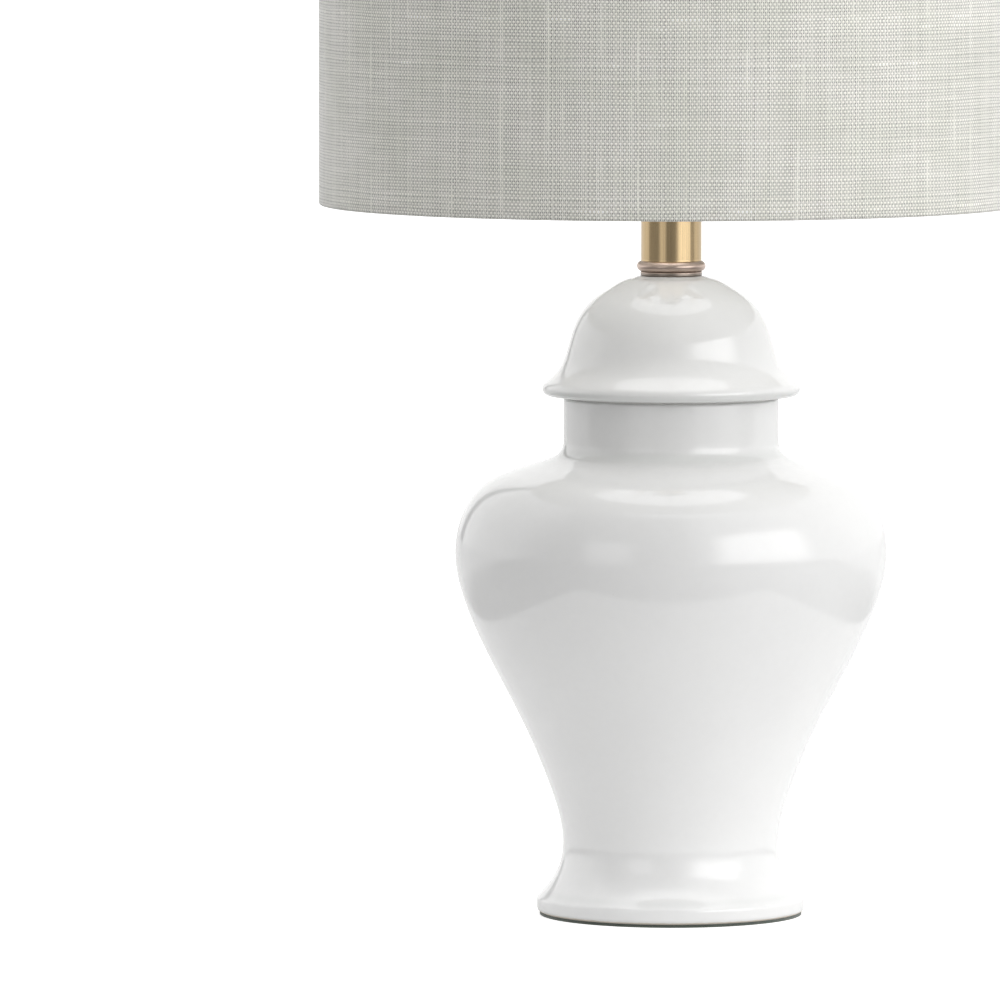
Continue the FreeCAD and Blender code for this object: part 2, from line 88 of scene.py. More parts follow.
# ---- settings ----------------------------------------------------------------------------------
def colour(name, description, default):
    """A colour setting."""
    return FloatVectorProperty(name=name, description=description, default=default, subtype="COLOR",
                               size=3, min=0.0, max=1.0)


def length(name, description, default):
    """A length setting, in metres."""
    return FloatProperty(name=name, description=description, default=default, min=0.0,
                         subtype="DISTANCE", unit="LENGTH", precision=5)


def share(name, description, default):
    """A setting from nought to one."""
    return FloatProperty(name=name, description=description, default=default, min=0.0, max=1.0,
                         subtype="FACTOR")


class LampJarSettings(PropertyGroup):
    """Glaze and clay of the jar and its lid."""
    glaze: colour("Glaze", "Colour of the glaze", (0.84, 0.84, 0.835))
    # Greyer glaze for four bands: partly glaze that pools thick in the creases, partly painted shade where
    # the lid meets the neck and round the brass ring.
    pooled_and_shaded: colour("Pooled glaze", "Colour where the glaze runs thick", (0.70, 0.715, 0.70))
    clay: colour("Clay", "Colour of the bare clay under the foot", (0.66, 0.60, 0.52))
    roughness: share("Glaze roughness", "Roughness of the glaze", 0.08)
    swell: length("Unevenness", "How far the thrown wall wanders from round", 0.00007)
    segments: IntProperty(name="Segments", description="Faces round the jar", default=224, min=64)


class LampBrassSettings(PropertyGroup):
    """Colours of the brass pieces."""
    satin: colour("Satin brass", "Colour of the brushed tube", (0.66, 0.495, 0.285))
    bronzed: colour("Bronzed brass", "Colour of the bead", (0.68, 0.54, 0.46))
    # The ring's colour is the bead's bronzed brass at about half its brightness: painted shade under the
    # bead's overhang.
    ring: colour("Ring", "Colour of the darkened ring under the bead", (0.34, 0.29, 0.25))
    aged: colour("Aged brass", "Colour of the harp and its fittings", (0.50, 0.37, 0.19))
    roughness: share("Brushing roughness", "Roughness of the brushed tube", 0.19)


class LampShadeSettings(PropertyGroup):
    """Cloth and frame of the shade."""
    thread: colour("Thread", "Colour of the linen thread", (0.93, 0.915, 0.86))
    # Painted shade: the near-black seen between the threads stands for shadow, with the white liner behind.
    gap: colour("Gap", "Colour seen between the threads", (0.07, 0.07, 0.065))
    warp: length("Warp pitch", "Distance between upright threads", 0.00115)
    weft: length("Weft pitch", "Distance between level threads", 0.00162)
    cloth: length("Cloth thickness", "Thickness of the linen", 0.0005)
    lap: length("Lap", "Width of the lapped seam at the back", 0.012)
    columns: IntProperty(name="Columns", description="Faces round the shade", default=384, min=96)


class LampStageSettings(PropertyGroup):
    """Camera, floor and light."""
    floor: colour("Floor", "Colour of the floor", (0.80, 0.80, 0.80))
    far_floor: colour("Far floor", "Colour of the floor past the white table top, as the lamp mirrors it",
                      (0.22, 0.22, 0.22))
    distance: length("Camera distance", "From the lamp's axis to the camera", 6.0)
    height: length("Camera height", "Height of the camera", 0.671)
    side: FloatProperty(name="Aim sideways", description="Sideways place of the camera and its aim",
                        default=-0.0926, unit="LENGTH", precision=4)
    aim: length("Aim height", "Height of the point that the camera looks at", 0.225)
    lens: FloatProperty(name="Lens", description="Focal length in millimetres", default=400.0)


# ---- shapes ------------------------------------------------------------------------------------
def unit(vector):
    """The vector at length one."""
    vector = np.asarray(vector, float)
    return vector / np.linalg.norm(vector)


def rounded_run(corners, steps=8):
    """Straight runs through the corners. A corner (r, z, radius) becomes an arc that touches both
    runs: centre + (a sin((1-t)w) + b sin(tw)) / sin w, where a and b reach the two touching points
    and w is the angle between them."""
    points = [np.array(corners[0][:2], float)]
    for here, after in zip(corners[1:], corners[2:]):
        corner = np.array(here[:2], float)
        if len(here) == 2:
            points.append(corner)
            continue
        back = unit(points[-1] - corner)
        ahead = unit(np.array(after[:2], float) - corner)
        half = math.acos(np.clip(back @ ahead, -1.0, 1.0)) / 2
        centre = corner + unit(back + ahead) * here[2] / math.sin(half)
        reach = here[2] / math.tan(half)
        first = corner + back * reach - centre
        last = corner + ahead * reach - centre
        sweep = math.pi - 2 * half
        t = np.linspace(0.0, 1.0, steps + 1)[:, None]
        points.extend(centre + (first * np.sin((1 - t) * sweep) + last * np.sin(t * sweep)) / math.sin(sweep))
    points.append(np.array(corners[-1][:2], float))
    return np.array(points)


def smooth_run(stations, start_slope, end_slope, spacing=2.4):
    """One smooth line through the stations: a cubic between each two, measured by the distance
    between them, whose tangents are solved so that the bending is continuous, and which leaves and
    arrives in the given directions."""
    points = np.asarray(stations, float)
    gaps = np.linalg.norm(np.diff(points, axis=0), axis=1)
    slopes = np.diff(points, axis=0) / gaps[:, None]
    count = len(points)
    inner = np.arange(1, count - 1)
    system = np.zeros((count, count))
    system[0, 0] = system[-1, -1] = 1.0
    system[inner, inner - 1] = gaps[1:]
    system[inner, inner] = 2 * (gaps[:-1] + gaps[1:])
    system[inner, inner + 1] = gaps[:-1]
    known = np.zeros((count, 2))
    known[0] = unit(start_slope)
    known[-1] = unit(end_slope)
    known[inner] = 3 * (gaps[1:, None] * slopes[:-1] + gaps[:-1, None] * slopes[1:])
    tangents = np.linalg.solve(system, known)
    runs = []
    for a, b, u, v, gap in zip(points[:-1], points[1:], tangents[:-1], tangents[1:], gaps):
        t = np.linspace(0.0, 1.0, max(2, round(gap / spacing)), endpoint=False)[:, None]
        runs.append(a * (1 + 2 * t) * (1 - t) ** 2 + u * gap * t * (1 - t) ** 2
                    + b * t * t * (3 - 2 * t) - v * gap * t * t * (1 - t))
    return np.concatenate(runs + [points[-1:]])


def joined(*runs):
    """The runs end to end, without repeated points."""
    line = np.concatenate([np.asarray(run, float) for run in runs])
    keep = np.linalg.norm(line - np.roll(line, 1, axis=0), axis=1) > 1e-5
    return line[keep]


def finely(line, spacing):
    """The line with its long steps divided into equal parts no longer than the spacing."""
    runs = [np.linspace(a, b, max(1, math.ceil(np.linalg.norm(b - a) / spacing)), endpoint=False)
            for a, b in zip(line[:-1], line[1:])]
    return np.concatenate(runs + [line[-1:]])


def inset(stations, depth):
    """The stations moved inwards, square to the line between their neighbours."""
    run = np.gradient(stations, axis=0)
    run[0] = stations[1] - stations[0]
    run[-1] = stations[-1] - stations[-2]
    run /= np.linalg.norm(run, axis=1)[:, None]
    return stations + depth * np.stack([-run[:, 1], run[:, 0]], axis=1)


def lengths_along(line):
    """Distance from the start of the line to each of its points."""
    return np.concatenate([[0.0], np.cumsum(np.linalg.norm(np.diff(line, axis=0), axis=1))])


def skin(name, grid, along, around, wrap_rows=False, wrap_columns=False, crease=32.0):
    """A mesh object through a grid of points, row by row, in metres. Each face joins four
    neighbours, outwards where (step along the columns) x (step along the rows) points outwards.
    The UV map holds the distances around and along, and points that meet at a pole are merged."""
    rows, columns = grid.shape[:2]
    row, column = np.meshgrid(np.arange(rows if wrap_rows else rows - 1),
                              np.arange(columns if wrap_columns else columns - 1), indexing="ij")
    row = row.ravel()[:, None] + np.array([0, 0, 1, 1])
    column = column.ravel()[:, None] + np.array([0, 1, 1, 0])
    faces = (row % rows) * columns + column % columns
    mesh = bpy.data.meshes.new(name)
    mesh.from_pydata(grid.reshape(-1, 3), [], faces)
    uv = np.stack([np.asarray(around)[column], np.asarray(along)[row]], axis=-1)
    mesh.uv_layers.new(name="UVMap").data.foreach_set("uv", uv.ravel())
    work = bmesh.new()
    work.from_mesh(mesh)
    bmesh.ops.remove_doubles(work, verts=work.verts, dist=2e-6)
    work.to_mesh(mesh)
    work.free()
    mesh.shade_smooth()
    mesh.set_sharp_from_angle(angle=math.radians(crease))
    piece = bpy.data.objects.new(name, mesh)
    bpy.context.scene.collection.objects.link(piece)
    return piece


def turned(name, line, segments, closed=True, bulge=None, crease=32.0):
    """A section turned about Z: (r cos a, r sin a, z). The bulge is a function of the turn a and the
    height z that is added to the radius r. A closed section goes anticlockwise in (r, z)."""
    turn = np.arange(segments) / segments * 2 * np.pi
    radius = np.repeat(line[:, :1], segments, axis=1)
    height = np.repeat(line[:, 1:], segments, axis=1)
    if bulge:
        radius = radius + bulge(turn[None, :], height, radius)
    grid = np.stack([radius * np.cos(turn), radius * np.sin(turn), height], axis=-1) * MM
    along = lengths_along(np.vstack([line, line[:1]])) * MM
    around = np.linspace(0.0, 2 * np.pi * line[:, 0].mean(), segments + 1) * MM
    return skin(name, grid, along, around, wrap_rows=closed, wrap_columns=True, crease=crease)


def carried(name, path, radius, sides=16):
    """A round tube of the given radius carried along a path of points, in metres: each point gets a
    circle in the plane square to the path, turned as little as possible from the one before."""
    path = np.asarray(path, float)
    ahead = np.gradient(path, axis=0)
    ahead /= np.linalg.norm(ahead, axis=1)[:, None]
    across = np.cross(ahead, [0.0, 0.0, 1.0])
    weak = np.linalg.norm(across, axis=1) < 1e-3
    across[weak] = np.cross(ahead[weak], [0.0, 1.0, 0.0])
    across /= np.linalg.norm(across, axis=1)[:, None]
    up = np.cross(across, ahead)
    turn = np.arange(sides) / sides * 2 * np.pi
    size = np.broadcast_to(radius, (len(path),))[:, None, None]
    grid = path[:, None] + size * (np.cos(turn)[None, :, None] * across[:, None]
                                   - np.sin(turn)[None, :, None] * up[:, None])
    around = np.linspace(0.0, 2 * np.pi * float(np.max(radius)), sides + 1)
    return skin(name, grid, lengths_along(path), around, wrap_columns=True)


def bored(piece, start, end, radius):
    """The piece with a round hole cut through it between two points, in metres."""
    cutter = carried(piece.name + "_cutter", np.linspace(start, end, 3), radius, 40)
    work = bmesh.new()
    work.from_mesh(cutter.data)
    bmesh.ops.holes_fill(work, edges=work.edges, sides=0)
    bmesh.ops.recalc_face_normals(work, faces=work.faces)
    work.to_mesh(cutter.data)
    work.free()
    cut = piece.modifiers.new("Hole", "BOOLEAN")
    cut.operation = "DIFFERENCE"
    cut.solver = "EXACT"
    cut.object = cutter
    shaped = bpy.data.meshes.new_from_object(piece.evaluated_get(bpy.context.evaluated_depsgraph_get()))
    piece.modifiers.clear()
    bpy.data.objects.remove(cutter)
    shaped.set_sharp_from_angle(angle=math.radians(32.0))
    piece.data = shaped
    return piece


# ---- material parts ----------------------------------------------------------------------------
class Wiring:
    """Short ways of adding nodes to a tree and joining them."""

    def __init__(self, tree):
        self.tree = tree

    def node(self, kind, inputs=None, **settings):
        """A new node: a value or another node's socket for each input, and its own settings."""
        made = self.tree.nodes.new(kind)
        for key, value in settings.items():
            setattr(made, key, value)
        for key, value in (inputs or {}).items():
            if isinstance(value, bpy.types.NodeSocket):
                self.tree.links.new(value, made.inputs[key])
            elif made.inputs[key].type == "RGBA" and len(value) == 3:
                made.inputs[key].default_value = (*value, 1.0)
            else:
                made.inputs[key].default_value = value
        return made

    def sum(self, operation, first, second=0.0, third=0.0, clamp=False):
        """One arithmetic step."""
        return self.node("ShaderNodeMath", {0: first, 1: second, 2: third}, operation=operation,
                         use_clamp=clamp).outputs[0]

    def blend(self, factor, first, second):
        """Two colours mixed by a factor."""
        return self.node("ShaderNodeMix", {0: factor, 6: first, 7: second}, data_type="RGBA").outputs[2]

    def between(self, value, low, high, to_low=0.0, to_high=1.0):
        """A value eased from one range to another."""
        return self.node("ShaderNodeMapRange", {0: value, 1: low, 2: high, 3: to_low, 4: to_high},
                         interpolation_type="SMOOTHSTEP").outputs[0]

    def noise(self, vector, scale, detail=2.0, roughness=0.5):
        """Smooth random values from nought to one."""
        return self.node("ShaderNodeTexNoise", {"Vector": vector, "Scale": scale, "Detail": detail,
                                                "Roughness": roughness}).outputs["Fac"]

    def stretched(self, vector, factors):
        """A vector times another."""
        return self.node("ShaderNodeVectorMath", {0: vector, 1: factors}, operation="MULTIPLY").outputs[0]

    def split(self, vector):
        """The three parts of a vector."""
        return self.node("ShaderNodeSeparateXYZ", {0: vector}).outputs

    def joined(self, x, y, z=0.0):
        """A vector from three values."""
        return self.node("ShaderNodeCombineXYZ", {0: x, 1: y, 2: z}).outputs[0]

    def shared(self, group, **inputs):
        """A shared effect with its own values here; an underscore stands for a space."""
        made = self.tree.nodes.new("ShaderNodeGroup")
        made.node_tree = group()
        for key, value in inputs.items():
            socket = made.inputs[key.replace("_", " ")]
            if isinstance(value, bpy.types.NodeSocket):
                self.tree.links.new(value, socket)
            elif socket.type == "RGBA":
                socket.default_value = (*value, 1.0) if len(value) == 3 else value
            else:
                socket.default_value = value
        return made.outputs


def effect(name, inputs, outputs):
    """A new shared effect: its wiring, its inputs and its output node."""
    tree = bpy.data.node_groups.new(name, "ShaderNodeTree")
    for label, kind in inputs:
        tree.interface.new_socket(label, in_out="INPUT", socket_type="NodeSocket" + kind)
    for label, kind in outputs:
        tree.interface.new_socket(label, in_out="OUTPUT", socket_type="NodeSocket" + kind)
    given = tree.nodes.new("NodeGroupInput").outputs
    result = tree.nodes.new("NodeGroupOutput").inputs
    return Wiring(tree), given, result


def once(make):
    """Builds a shared effect the first time and finds it again after that."""
    def found():
        name = make.__doc__.split(":")[0]
        return bpy.data.node_groups.get(name) or make(name)
    return found


@once
def uneven_tone(name):
    """Uneven tone: two colours in soft patches with fine mottling, and roughness that follows them."""
    w, given, result = effect(name, [("Vector", "Vector"), ("Colour", "Color"), ("Second", "Color"),
                                     ("Patch", "Float"), ("Fine", "Float"), ("Roughness", "Float"),
                                     ("Spread", "Float")],
                              [("Colour", "Color"), ("Roughness", "Float"), ("Height", "Float")])
    patches = w.noise(given["Vector"], given["Patch"], 3.0)
    fine = w.noise(given["Vector"], given["Fine"], 3.0, 0.6)
    both = w.sum("MULTIPLY_ADD", fine, 0.35, w.sum("MULTIPLY", patches, 0.65))
    links = w.tree.links
    links.new(w.blend(w.between(both, 0.3, 0.7), given["Colour"], given["Second"]), result["Colour"])
    shift = w.sum("MULTIPLY", w.sum("SUBTRACT", both, 0.5), given["Spread"])
    links.new(w.sum("ADD", given["Roughness"], shift, clamp=True), result["Roughness"])
    links.new(fine, result["Height"])
    return w.tree


@once
def settled_dust(name):
    """Settled dust: a thin pale film on faces that look up, patchy, and rougher than what it lies on."""
    w, given, result = effect(name, [("Vector", "Vector"), ("Colour", "Color"), ("Roughness", "Float"),
                                     ("Amount", "Float")],
                              [("Colour", "Color"), ("Roughness", "Float")])
    facing = w.split(w.node("ShaderNodeNewGeometry").outputs["Normal"])[2]
    patchy = w.between(w.noise(given["Vector"], 260.0, 4.0, 0.65), 0.35, 0.75)
    film = w.sum("MULTIPLY", w.sum("MULTIPLY", w.between(facing, 0.45, 0.98), patchy), given["Amount"])
    w.tree.links.new(w.blend(film, given["Colour"], (0.62, 0.61, 0.59)), result["Colour"])
    rough = w.sum("MULTIPLY_ADD", film, 0.5, given["Roughness"], clamp=True)
    w.tree.links.new(rough, result["Roughness"])
    return w.tree


@once
def drawn_lines(name):
    """Drawn lines: fine scratches drawn out along one direction, broken up by a second, coarser set."""
    w, given, result = effect(name, [("Vector", "Vector"), ("Stretch", "Vector"), ("Colour", "Color"),
                                     ("Dark", "Color"), ("Roughness", "Float"), ("Spread", "Float")],
                              [("Colour", "Color"), ("Roughness", "Float"), ("Height", "Float")])
    drawn = w.stretched(given["Vector"], given["Stretch"])
    fine = w.noise(drawn, 1.0, 2.0, 0.7)
    coarse = w.noise(drawn, 0.31, 1.0)
    lines = w.sum("MULTIPLY_ADD", coarse, 0.4, w.sum("MULTIPLY", fine, 0.6))
    links = w.tree.links
    links.new(w.blend(w.between(lines, 0.3, 0.7), given["Dark"], given["Colour"]), result["Colour"])
    shift = w.sum("MULTIPLY", w.sum("SUBTRACT", lines, 0.5), given["Spread"])
    links.new(w.sum("ADD", given["Roughness"], shift, clamp=True), result["Roughness"])
    links.new(lines, result["Height"])
    return w.tree


@once
def wear_and_shade_band(name):
    """Worn band: a mask that is strongest at one height and fades above and below, broken by noise."""
    w, given, result = effect(name, [("Vector", "Vector"), ("Level", "Float"), ("Width", "Float")],
                              [("Mask", "Float")])
    away = w.sum("ABSOLUTE", w.sum("SUBTRACT", w.split(given["Vector"])[2], given["Level"]))
    ragged = w.sum("MULTIPLY_ADD", w.noise(given["Vector"], 420.0, 4.0, 0.7), 1.2, 0.4)
    reach = w.sum("MULTIPLY", given["Width"], ragged)
    w.tree.links.new(w.between(w.sum("DIVIDE", away, reach), 1.0, 0.0), result["Mask"])
    return w.tree


@once
def screw_thread(name):
    """Screw thread: ridges that climb round Z by one pitch a turn, on faces nearer the axis than a
    radius and above a level."""
    w, given, result = effect(name, [("Vector", "Vector"), ("Pitch", "Float"), ("Radius", "Float"),
                                     ("Level", "Float")],
                              [("Height", "Float"), ("GrooveShade", "Float")])
    x, y, z = w.split(given["Vector"])
    turns = w.sum("MULTIPLY", w.sum("ARCTAN2", y, x), 0.5 / math.pi)
    climb = w.sum("SUBTRACT", w.sum("DIVIDE", z, given["Pitch"]), turns)
    ridge = w.sum("MULTIPLY", w.sum("PINGPONG", climb, 0.5), 2.0)
    away = w.node("ShaderNodeVectorMath", {0: w.joined(x, y)}, operation="LENGTH").outputs["Value"]
    near = w.sum("LESS_THAN", away, given["Radius"])
    here = w.sum("MULTIPLY", near, w.sum("GREATER_THAN", z, given["Level"]))
    w.tree.links.new(w.sum("MULTIPLY", ridge, here), result["Height"])
    w.tree.links.new(w.sum("MULTIPLY", w.between(ridge, 0.45, 0.0), here), result["GrooveShade"])
    return w.tree


@once
def plain_weave(name):
    """Plain weave: upright and level threads over and under each other, each its own thickness and
    tone, with thick slubs, and dark gaps left between them. It is laid out on the UV map."""
    w, given, result = effect(name, [("UV", "Vector"), ("Warp", "Float"), ("Weft", "Float"),
                                     ("Thread", "Color"), ("Gap", "Color")],
                              [("Colour", "Color"), ("Roughness", "Float"), ("Height", "Float")])
    across, up, _ = w.split(given["UV"])
    wander = w.noise(w.joined(w.sum("MULTIPLY", across, 60.0), w.sum("MULTIPLY", up, 22.0)), 1.0, 2.0)
    sway = w.noise(w.joined(w.sum("MULTIPLY", across, 18.0), w.sum("MULTIPLY", up, 90.0), 7.0), 1.0, 2.0)
    a = w.sum("MULTIPLY_ADD", w.sum("SUBTRACT", wander, 0.5), 1.1, w.sum("DIVIDE", across, given["Warp"]))
    b = w.sum("MULTIPLY_ADD", w.sum("SUBTRACT", sway, 0.5), 0.9, w.sum("DIVIDE", up, given["Weft"]))
    threads = []
    for place, other, run, rate, seed, half, vary in ((a, b, up, 30.0, 3.7, 0.36, 0.15),
                                                      (b, a, across, 40.0, 9.1, 0.375, 0.10)):
        number = w.sum("FLOOR", place)
        key = w.joined(w.sum("MULTIPLY", number, seed), w.sum("MULTIPLY", run, rate), seed)
        along = w.noise(key, 1.0, 2.0, 0.6)
        own = w.node("ShaderNodeTexWhiteNoise", {"W": number}, noise_dimensions="1D").outputs["Value"]
        middle = w.sum("MULTIPLY_ADD", own, 0.20, 0.40)
        offset = w.sum("ABSOLUTE", w.sum("SUBTRACT", w.sum("FRACT", place), middle))
        slub = w.between(w.sum("MULTIPLY_ADD", along, 0.4, own), 1.17, 1.23)
        width = w.sum("MULTIPLY_ADD", slub, 0.16, w.sum("MULTIPLY_ADD", along, 0.17, half - 0.085))
        cover = w.between(w.sum("DIVIDE", offset, width), 1.18, 0.82)
        crown = w.sum("SUBTRACT", 1.0, w.sum("POWER", w.sum("DIVIDE", offset, width, clamp=True), 2.0))
        phase = w.sum("SINE", w.sum("MULTIPLY", w.sum("ADD", other, number), math.pi))
        threads.append((cover, crown, phase, own, along, slub, vary))
    warp, weft = threads
    over = w.between(warp[2], -0.45, 0.45)
    warp_high = w.sum("MULTIPLY", warp[0], w.sum("MULTIPLY_ADD", over, 0.5, w.sum("MULTIPLY", warp[1], 0.5)))
    weft_high = w.sum("MULTIPLY", weft[0], w.sum("MULTIPLY_ADD", w.sum("SUBTRACT", 1.0, over), 0.4,
                                                 w.sum("MULTIPLY", weft[1], 0.5)))
    top = w.sum("MAXIMUM", warp_high, weft_high)
    covered = w.sum("MAXIMUM", warp[0], weft[0])
    which = w.between(w.sum("SUBTRACT", warp_high, weft_high), -0.1, 0.1)
    tones = []
    for thread in threads:
        tone = w.sum("MULTIPLY_ADD", thread[3], thread[6], w.sum("MULTIPLY_ADD", thread[4], 0.20, 0.80))
        tones.append(w.sum("MULTIPLY_ADD", thread[5], 0.08, tone))
    tone = w.sum("ADD", w.sum("MULTIPLY", which, tones[0]),
                 w.sum("MULTIPLY", w.sum("SUBTRACT", 1.0, which), tones[1]))
    # Painted shade: threads are darker where they dip under their neighbours at the crossings, and darker the
    # lower their surface lies.
    crossing_shade = w.sum("MULTIPLY_ADD", w.sum("ADD", warp[2], weft[2]), -0.10, 1.0)
    lit = w.sum("MULTIPLY", w.sum("MULTIPLY", tone, crossing_shade), w.sum("MULTIPLY_ADD", top, 0.34, 0.70))
    patches = w.noise(w.joined(w.sum("MULTIPLY", across, 26.0), w.sum("MULTIPLY", up, 26.0), 3.0), 1.0, 3.0)
    warm = w.blend(w.between(patches, 0.35, 0.65), given["Thread"], (0.88, 0.875, 0.805))
    shaded = w.node("ShaderNodeMix", {0: 1.0, 6: warm, 7: w.joined(lit, lit, lit)}, data_type="RGBA",
                    blend_type="MULTIPLY").outputs[2]
    # Painted shade: places that no thread covers take the dark gap colour.
    w.tree.links.new(w.blend(covered, given["Gap"], shaded), result["Colour"])
    w.tree.links.new(w.sum("MULTIPLY_ADD", top, -0.15, 0.95), result["Roughness"])
    w.tree.links.new(top, result["Height"])
    return w.tree


def new_finish(name, **shader_values):
    """A material with one Principled shader; returns the material, its wiring and the shader."""
    material = bpy.data.materials.new(name)
    material.use_nodes = True
    tree = material.node_tree
    tree.nodes.clear()
    w = Wiring(tree)
    shader = w.node("ShaderNodeBsdfPrincipled", shader_values)
    output = tree.nodes.new("ShaderNodeOutputMaterial")
    tree.links.new(shader.outputs[0], output.inputs[0])
    return material, w, shader


def place(w):
    """Object coordinates."""
    return w.node("ShaderNodeTexCoord").outputs["Object"]


def raised(w, shader, height, depth, strength=1.0):
    """Bumps of the given depth in metres on the shader's normal."""
    bump = w.node("ShaderNodeBump", {"Height": height, "Distance": depth, "Strength": strength})
    w.tree.links.new(bump.outputs[0], shader.inputs["Normal"])


def dressed(w, shader, tone, vector, dust):
    """Dust over a tone, wired to the shader."""
    film = w.shared(settled_dust, Vector=vector, Colour=tone["Colour"], Roughness=tone["Roughness"],
                    Amount=dust)
    w.tree.links.new(film["Colour"], shader.inputs["Base Color"])
    w.tree.links.new(film["Roughness"], shader.inputs["Roughness"])


def mottled(name, first, second, patch, fine, roughness, spread, depth, dust=0.12, **shader_values):
    """A finish of two close colours in patches, with fine bumps and a little dust."""
    material, w, shader = new_finish(name, **shader_values)
    vector = place(w)
    tone = w.shared(uneven_tone, Vector=vector, Colour=first, Second=second, Patch=patch, Fine=fine,
                    Roughness=roughness, Spread=spread)
    dressed(w, shader, tone, vector, dust)
    raised(w, shader, tone["Height"], depth)
    return material


def lined(name, stretch, light, dark, roughness, spread, depth, dust=0.1, levels=(), worn=None,
          width=0.0006, **shader_values):
    """A metal finish with drawn lines, and worn bands at the given heights."""
    material, w, shader = new_finish(name, Metallic=1.0, **shader_values)
    vector = place(w)
    tone = w.shared(drawn_lines, Vector=vector, Stretch=stretch, Colour=light, Dark=dark,
                    Roughness=roughness, Spread=spread)
    shade = tone["Colour"]
    for level in levels:
        mask = w.shared(wear_and_shade_band, Vector=vector, Level=level, Width=width)["Mask"]
        shade = w.blend(w.sum("MULTIPLY", mask, 0.7), shade, worn)
    dressed(w, shader, {"Colour": shade, "Roughness": tone["Roughness"]}, vector, dust)
    raised(w, shader, tone["Height"], depth)
    return material


def threaded(name, light, dark, roughness, pitch, radius, level=-1.0):
    """A drawn metal finish with a screw thread whose grooves have gone dark."""
    material, w, shader = new_finish(name, Metallic=1.0)
    vector = place(w)
    tone = w.shared(drawn_lines, Vector=vector, Stretch=(500, 500, 500), Colour=light, Dark=dark,
                    Roughness=roughness, Spread=0.25)
    thread = w.shared(screw_thread, Vector=vector, Pitch=pitch, Radius=radius, Level=level)
    # Painted shade: the thread's grooves are darkened towards a quarter of the dark tone.
    shade = w.blend(w.sum("MULTIPLY", thread["GrooveShade"], 0.75), tone["Colour"], tuple(0.25 * c for c in dark))
    dressed(w, shader, {"Colour": shade, "Roughness": tone["Roughness"]}, vector, 0.15)
    raised(w, shader, thread["Height"], 0.5 * pitch)
    return material


def paint(material, *names):
    """Gives the named pieces or CAD nodes this finish."""
    for name in names:
        target = NODES.get(name) or bpy.data.objects[name]
        if not target.material_slots:
            target.data.materials.append(material)
        for slot in target.material_slots:
            slot.material = material


def placed(piece, body, slot, material, *nodes):
    """Rides the piece on its body, names its finish, and lets it stand for CAD nodes."""
    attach(piece, body)
    if nodes:
        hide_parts(*nodes)
    piece.data.materials.clear()
    piece.data.materials.append(material)
    return piece


# ---- finishes ----------------------------------------------------------------------------------
def glaze_finish(s):
    """White gloss over clay: mottled, thicker in the grooves, bare under the foot."""
    material, w, shader = new_finish("glaze", IOR=1.65)
    vector = place(w)
    tone = w.shared(uneven_tone, Vector=vector, Colour=s.glaze, Second=tuple(0.975 * c for c in s.glaze),
                    Patch=18.0, Fine=240.0, Roughness=s.roughness, Spread=0.05)
    shade = tone["Colour"]
    # Bands at the neck's lip under the lid, the neck's foot, the lid's top round the brass ring and the
    # crease above the foot: partly glaze that pools thick, partly painted shade.
    for level, width, amount in ((0.2835, 0.004, 0.55), (0.2515, 0.005, 0.5), (0.3465, 0.0022, 0.4),
                                 (0.0125, 0.003, 0.3)):
        mask = w.shared(wear_and_shade_band, Vector=vector, Level=level, Width=width)["Mask"]
        shade = w.blend(w.sum("MULTIPLY", mask, amount), shade, s.pooled_and_shaded)
    specks = w.between(w.noise(vector, 900.0, 1.0), 0.80, 0.86)
    shade = w.blend(w.sum("MULTIPLY", specks, 0.25), shade, (0.45, 0.40, 0.34))
    low = w.sum("MULTIPLY_ADD", w.noise(vector, 300.0, 3.0), 0.0012, w.split(vector)[2])
    bare = w.between(low, 0.0036, 0.0028)
    shade = w.blend(bare, shade, s.clay)
    rough = w.sum("MULTIPLY_ADD", bare, 0.75, tone["Roughness"], clamp=True)
    dressed(w, shader, {"Colour": shade, "Roughness": rough}, vector, 0.05)
    swells = w.noise(vector, 55.0, 1.0)
    raised(w, shader, w.sum("MULTIPLY_ADD", tone["Height"], 0.12, swells), 0.00009)
    return material


def linen_finish(s):
    """Woven linen with a soft nap."""
    material, w, shader = new_finish("linen", **{"Sheen Weight": 1.0, "Sheen Roughness": 0.3,
                                                 "Specular IOR Level": 0.25})
    uv = w.node("ShaderNodeTexCoord").outputs["UV"]
    weave = w.shared(plain_weave, UV=uv, Warp=s.warp, Weft=s.weft, Thread=s.thread, Gap=s.gap)
    w.tree.links.new(weave["Colour"], shader.inputs["Base Color"])
    w.tree.links.new(weave["Roughness"], shader.inputs["Roughness"])
    raised(w, shader, weave["Height"], 0.00022, 0.8)
    return material


# ---- pieces ------------------------------------------------------------------------------------
def jar_section():
    """The jar's closed section: foot, outside, neck, chamber, floor and recess."""
    inner = inset(JAR_SIDE, WALL)
    foot = rounded_run([(inner[0][0], 1.5), (72.5, 1.5, 2.5), (72.5, 9.2, 3.0), JAR_SIDE[0]])
    neck = rounded_run([JAR_SIDE[-1], (58.3, 250.3, 9.0), (58.3, 280.4, 1.5), (53.3, 280.4, 1.5),
                        (53.3, 245.3, 4.0), inner[-2]])
    floor = rounded_run([inner[WAIST], (inner[WAIST][0], 36.0), (PIPE_HOLE, 36.0), (PIPE_HOLE, 29.0),
                         (inner[WAIST][0], 29.0), inner[WAIST - 1]])
    chamber = smooth_run(inner[WAIST:-1], (0, 1), SHOULDER_SLOPE, 6.0)[::-1]
    recess = smooth_run(inner[:WAIST], FOOT_SLOPE, (-0.5, 1.0), 6.0)[::-1]
    return joined(finely(foot, 2.0), smooth_run(JAR_SIDE, FOOT_SLOPE, SHOULDER_SLOPE, 2.0),
                  finely(neck, 3.0), chamber, floor, recess)


